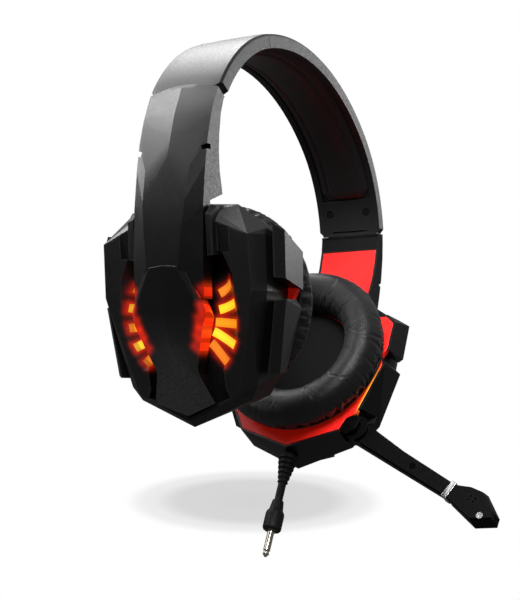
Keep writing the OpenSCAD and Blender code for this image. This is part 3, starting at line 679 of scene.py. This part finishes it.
def simulated_rings(s, cover):
    """The simulated cover set on its cup, mirrored and turned on the right, with ripples."""
    n, m = cover.shape[:2]
    turn = 0 if s > 0 else RIGHT_COVER_TURN
    c, d = math.cos(turn), math.sin(turn)
    rings = []
    for i in range(n):
        ring = []
        for k in range(m):
            x, y, z = cover[i, k]
            x, y = x * c - y * d, x * d + y * c
            radius = math.hypot(x, y)
            swell = ripple(x / radius, y / radius, k / (m - 1), broad=0.26, fine=0.14)
            swell = swell * min(1.0, k / 12, (m - 1 - k) / 12) / radius
            ring.append(cup_point(s, x * (1 + swell), y * (1 + swell), z))
        rings.append(ring)
    return rings


def drawn_rings(s):
    """The cover without simulation: its section swept round, with pleats and ripples."""
    outline = spline(CUSHION, DRAWN_ACROSS)
    normal = outline_normals(outline)
    angles = 2 * math.pi * np.arange(DRAWN_AROUND) / DRAWN_AROUND
    across = np.arange(DRAWN_ACROSS) / (DRAWN_ACROSS - 1)
    pleats = pleat_offset(angles[:, None], across[None, :], cutoff=3.2)
    rings = []
    for i, angle in enumerate(angles):
        c, d = math.cos(angle), math.sin(angle)
        ring = []
        for k, (radius, z) in enumerate(outline):
            t = across[k]
            offset = pleats[i, k] + ripple(c, d, t, broad=0.34, fine=0.16)
            offset *= min(1.0, t / 0.04, (1 - t) / 0.04)
            r = radius - normal[k, 0] * offset
            ring.append(cup_point(s, r * c, r * d, z - normal[k, 1] * offset))
        rings.append(ring)
    return rings


def cushion_cover(s, side, cover):
    rings = drawn_rings(s) if cover is None else simulated_rings(s, cover)
    piece = mesh_piece(side + "_cushion_cover", *loft(rings, looped=True), side + "_cup",
                       "leather", flip=(s < 0))
    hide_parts(side + "_cushion")


def cushion_piping(s, side):
    """Round leather cord about the cushion's outer hem."""
    ring_radius, cord_radius, cord_z = 44.0, 0.75, -12.35
    around, section = 240, 14
    rings = []
    for i in range(around):
        angle = 2 * math.pi * i / around
        ring = []
        for j in range(section):
            turn = 2 * math.pi * j / section
            r = ring_radius + cord_radius * math.cos(turn)
            ring.append(cup_point(s, r * math.cos(angle), r * math.sin(angle),
                                  cord_z + cord_radius * math.sin(turn)))
        rings.append(ring)
    mesh_piece(side + "_cushion_piping", *loft(rings, looped=True), side + "_cup", "leather",
               flip=(s > 0))


def speaker_cloth(s, side):
    """Disc of cloth with a soft crown towards the ear, faint radial puckers and a flat back."""
    radius, rim_z, crown, pucker, back_z = 26.0, -10.75, 0.6, 0.05, -10.1
    n, m = 144, 26   # around, rings
    angles = [2 * math.pi * i / n for i in range(n)]
    verts = [cup_point(s, 0, 0, rim_z - crown)]
    for j in range(1, m + 1):
        r = radius * j / m
        for angle in angles:
            z = (rim_z - crown * (1 - (r / radius) ** 2)
                 - pucker * math.sin(19 * angle + 1.2) * (r / radius) ** 6)
            verts.append(cup_point(s, r * math.cos(angle), r * math.sin(angle), z))
    back = len(verts)
    verts += [cup_point(s, radius * math.cos(a), radius * math.sin(a), back_z) for a in angles]
    faces = [(0, 1 + i, 1 + (i + 1) % n) for i in range(n)]
    for j in range(m - 1):
        a = 1 + j * n
        for i in range(n):
            k = (i + 1) % n
            faces.append((a + i, a + n + i, a + n + k, a + k))
    rim = 1 + (m - 1) * n
    for i in range(n):
        k = (i + 1) % n
        faces.append((rim + i, back + i, back + k, rim + k))
    faces.append(tuple(back + i for i in range(n)))
    piece = mesh_piece(side + "_speaker_grille_cloth", verts, faces, side + "_cup",
                       "speaker_cloth", flip=(s > 0))
    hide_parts(side + "_speaker_cloth")


cover = simulated_cover()
if cover is not None:
    cover = gathered(cover)
for s, side in ((1, "left"), (-1, "right")):
    cushion_cover(s, side, cover)
    cushion_piping(s, side)
    speaker_cloth(s, side)

# ---------------------------------------------------------------- headband pad
PAD_HALF_WIDTH = 14.85
PAD_END = math.radians(90 - 33.9)   # angle from the crown
PAD_END_GAP = 0.15
PAD_BASE = -BAND_THICKNESS + 0.95   # offset from the band's outer arc
PAD_ALONG, PAD_ACROSS = 260, 64


def band_point(angle, y, offset):
    """Point at a signed angle from the crown, offset (mm) outward from the arc; in metres."""
    direction = Vector((math.sin(angle), 0, math.cos(angle)))
    if abs(angle) <= CROWN_ANGLE:
        centre, radius = Vector((0, 0, CROWN_CENTRE_Z)), CROWN_RADIUS
    else:
        centre = Vector((math.copysign(SIDE_CENTRE_X, angle), 0, SIDE_CENTRE_Z))
        radius = SIDE_RADIUS
    p = centre + direction * (radius + offset)
    return Vector((p.x, y, p.z)) * MM


def pad_height(y, from_end):
    """Thickness of the pad: a cushioned middle, a groove near each side, rounded borders."""
    half, groove_y, middle_half = 13.8, 9.6, 9.0
    k = abs(y)
    height = 0.95 + 2.0 * (1 - (k / half) ** 6 if k < half else 0)
    height -= 0.85 * math.exp(-((k - groove_y) / 0.9) ** 2)
    height += 0.55 * max(0.0, 1 - (k / middle_half) ** 2)
    if k > half:
        height *= max(0.0, 1 - ((k - half) / 1.05) ** 2) ** 0.5
    return height * (1 - math.exp(-max(0.0, from_end) / 2.2))


def crown_pad():
    """Leather pad under the headband."""
    crown_length = CROWN_ANGLE * CROWN_RADIUS
    reach = crown_length + (PAD_END - CROWN_ANGLE) * SIDE_RADIUS - PAD_END_GAP
    rings = []
    for i in range(PAD_ALONG):
        place = (-1 + 2 * i / (PAD_ALONG - 1)) * reach
        angle = math.copysign(min(abs(place) / CROWN_RADIUS, CROWN_ANGLE)
                              + max(0, abs(place) - crown_length) / SIDE_RADIUS, place)
        from_end = reach - abs(place)
        half = PAD_HALF_WIDTH - max(0.0, 5.0 - from_end) * 0.9
        rows = [-half + 2 * half * j / (PAD_ACROSS - 1) for j in range(PAD_ACROSS)]
        ring = []
        for y in rows:
            height = pad_height(y / half * PAD_HALF_WIDTH, from_end + 0.02)
            unevenness = noise.noise(Vector((place * 0.06, y * 0.1, 3.0)))
            height += 0.1 * unevenness * min(1, from_end / 5)
            ring.append(band_point(angle, y, PAD_BASE - max(0.02, height)))
        ring += [band_point(angle, y, PAD_BASE) for y in reversed(rows)]
        rings.append(ring)
    piece = mesh_piece("crown_pad", *loft(rings, looped=False), "headband", "leather")
    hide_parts("headband_pad")


crown_pad()

# ---------------------------------------------------------------- camera (metres)
CAMERA_RIGHT = Vector((0.46604, -0.87859, 0.10435))
CAMERA_UP = Vector((-0.29565, -0.04348, 0.95431))
CAMERA_FORWARD = Vector((0.83391, 0.47559, 0.28002))
CAMERA_PLACE = Vector((-0.49927, -0.28087, -0.14824))

lens = bpy.data.cameras.new("camera")
lens.sensor_width = 36
lens.lens = 70.7712
lens.clip_start = 0.02
lens.clip_end = 30
camera = bpy.data.objects.new("camera", lens)
axes = Matrix((CAMERA_RIGHT, CAMERA_UP, -CAMERA_FORWARD))
camera.matrix_world = axes.transposed().to_4x4()
camera.location = CAMERA_PLACE
scene.collection.objects.link(camera)
scene.camera = camera
scene.view_settings.view_transform = "Standard"
scene.view_settings.look = "None"


# ---------------------------------------------------------------- lights (metres)
def area(name, direction, radiance, size, size_y=None, only=None, distance=1.2,
         target=(0, 0, 0.03)):
    """Area light in a direction from its target; only limits it to some objects."""
    size_y = size_y or size
    light = bpy.data.lights.new(name, "AREA")
    light.shape = "RECTANGLE"
    light.size = size
    light.size_y = size_y
    light.energy = radiance * math.pi * size * size_y
    lamp = bpy.data.objects.new(name, light)
    lamp.location = Vector(target) + Vector(direction).normalized() * distance
    lamp.rotation_euler = (Vector(target) - lamp.location).to_track_quat("-Z", "Y").to_euler()
    lamp.visible_camera = False
    scene.collection.objects.link(lamp)
    if only is not None:
        receivers = bpy.data.collections.new(name + "_receivers")
        for piece in only:
            receivers.objects.link(piece)
        lamp.light_linking.receiver_collection = receivers


def pieces_starting(*starts):
    return [piece for name, piece in NODES.items() if name.startswith(starts)
            or name in ("right_cup_shell", "right_cup_pods")]


near = pieces_starting("right_arm", "headband")
crown = pieces_starting("headband")
near_arm = [piece for name, piece in NODES.items() if name.startswith("right_arm")]
rest = [o for o in scene.collection.all_objects if o.type == "MESH" and o not in near_arm]
reds = [NODES[name] for name in ("left_arm_panel", "left_cup_baffle",
                                 "right_arm_panel", "right_cup_baffle")]
left_cover = [scene.objects["left_cushion_cover"]]
KEY_SIDE = (-0.83, -0.29, 0.46)
BACK_SIDE = (-0.42, 0.72, 0.55)

area("key", KEY_SIDE, radiance=15, size=0.5, only=rest)
area("key_arm", KEY_SIDE, radiance=3, size=0.5, only=near_arm)
area("key_red", KEY_SIDE, radiance=26, size=0.5, only=reds)
area("arm_top", (-0.50, 0.58, 0.64), radiance=12, size=0.15, only=near_arm, distance=0.3,
     target=(-0.1, 0, 0.088))
area("arm_back", (-0.12, 0.92, 0.38), radiance=9, size=0.12, only=near_arm, distance=0.3,
     target=(-0.09, 0.01, 0.08))
area("arm_low", (-0.40, 0.50, -0.77), radiance=0.6, size=0.5, only=near_arm)
area("left_back", BACK_SIDE, radiance=12, size=0.7, size_y=0.5, only=crown)
area("fill_back", BACK_SIDE, radiance=2, size=0.7, size_y=0.5)
area("overhead", (0.1, 0.4, 0.92), radiance=4, size=0.7)
area("overhead_crown", (0.0, 0.25, 0.97), radiance=7, size=0.6, only=crown)
area("cushion_back", (-0.58, 0.76, -0.10), radiance=3, size=0.4, only=left_cover)
area("front_side", (0.74, -0.51, 0.46), radiance=5, size=0.45, only=near)


# ---------------------------------------------------------------- world and stage (metres)
def studio_world():
    """White to the camera; to other rays a dim room, brightest overhead."""
    world = bpy.data.worlds.new("studio")
    scene.world = world
    g = Graph(world, "OutputWorld")
    height = g.separate(g.node("TexCoord").outputs["Generated"])["Z"]
    ramp = g.node("ValToRGB", {"Fac": g.map_range(height, -1, 1)})
    elements = ramp.color_ramp.elements
    elements[0].color = (0.10, 0.10, 0.10, 1)
    elements[1].color = (0.5, 0.5, 0.5, 1)
    for place, grey in ((0.45, 0.06), (0.6, 0.10), (0.8, 0.25)):
        elements.new(place).color = (grey, grey, grey, 1)
    room = g.node("Background", {"Color": ramp.outputs["Color"]}).outputs[0]
    white = g.node("Background", {"Color": (1, 1, 1)}).outputs[0]
    g.surface(g.mix_shader(g.node("LightPath").outputs["Is Camera Ray"], room, white))


def stage_plane(name, corners, material, hidden_from):
    mesh = bpy.data.meshes.new(name)
    mesh.from_pydata(corners, [], [(0, 1, 2, 3)])
    plane = bpy.data.objects.new(name, mesh)
    scene.collection.objects.link(plane)
    mesh.materials.append(material)
    for ray in hidden_from:
        setattr(plane, "visible_" + ray, False)
    plane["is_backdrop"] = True


def backdrop_material(centre, across, along):
    """White with a soft oval shadow at the centre; clear to all but the main camera's rays."""
    shadow_half_width, shadow_half_depth = 0.079, 0.047
    material = bpy.data.materials.new("backdrop")
    g = Graph(material, "OutputMaterial")
    geometry = g.node("NewGeometry").outputs
    offset = g.vector("SUBTRACT", geometry["Position"], centre)
    squares = []
    for axis, half in ((across, shadow_half_width), (along, shadow_half_depth)):
        share = g.math("DIVIDE", g.vector("DOT_PRODUCT", offset, axis), half)
        squares.append(g.math("POWER", g.math("ABSOLUTE", share), 2.0))
    radius = g.math("SQRT", g.add(*squares))
    shade = g.ramp(radius, [(0.0, 0.66), (0.55, 0.68), (0.80, 0.84), (1.0, 1.0)], "EASE")
    to_camera = g.vector("NORMALIZE", g.vector("SUBTRACT", CAMERA_PLACE, geometry["Position"]))
    agreement = g.vector("DOT_PRODUCT", to_camera, geometry["Incoming"])
    g.surface(g.mix_shader(g.math("GREATER_THAN", agreement, 0.999995),
                           g.node("BsdfTransparent").outputs[0],
                           g.node("Emission", {"Color": shade}).outputs[0]))
    return material


def backdrop():
    """Pale plane, tilted in the camera's frame, that carries the shadow under the headset."""
    tilt = math.radians(15)
    plane_up, plane_forward = -0.150, 0.58       # a point on the plane, from the camera
    slope_up, slope_right = -0.16956, -0.00424   # camera ray through the shadow's centre
    normal = CAMERA_UP * math.cos(tilt) - CAMERA_FORWARD * math.sin(tilt)
    depth = (plane_up - plane_forward * math.tan(tilt)) / (slope_up - math.tan(tilt))
    centre = (CAMERA_PLACE + CAMERA_FORWARD * depth + CAMERA_UP * (slope_up * depth)
              + CAMERA_RIGHT * (slope_right * depth))
    across, along = CAMERA_RIGHT, normal.cross(CAMERA_RIGHT)
    k = 6   # half size
    corners = [centre - across * k - along * k, centre + across * k - along * k,
               centre + across * k + along * k, centre - across * k + along * k]
    stage_plane("backdrop", corners, backdrop_material(centre, across, along),
                ("diffuse", "glossy", "transmission", "volume_scatter", "shadow"))


def floor():
    """Pale floor just under the headset, clear from below."""
    lo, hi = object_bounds()
    z = lo.z - 0.004
    k = 4   # half size
    m = Material("floor")
    m.set({"Base Color": (0.8, 0.8, 0.8), "Roughness": 0.7})
    m.surface(m.mix_shader(m.node("NewGeometry").outputs["Backfacing"], m.bsdf.outputs["BSDF"],
                           m.node("BsdfTransparent").outputs[0]))
    stage_plane("floor", [(-k, -k, z), (k, -k, z), (k, k, z), (-k, k, z)], m.mat,
                ("glossy", "diffuse"))


studio_world()
backdrop()
floor()
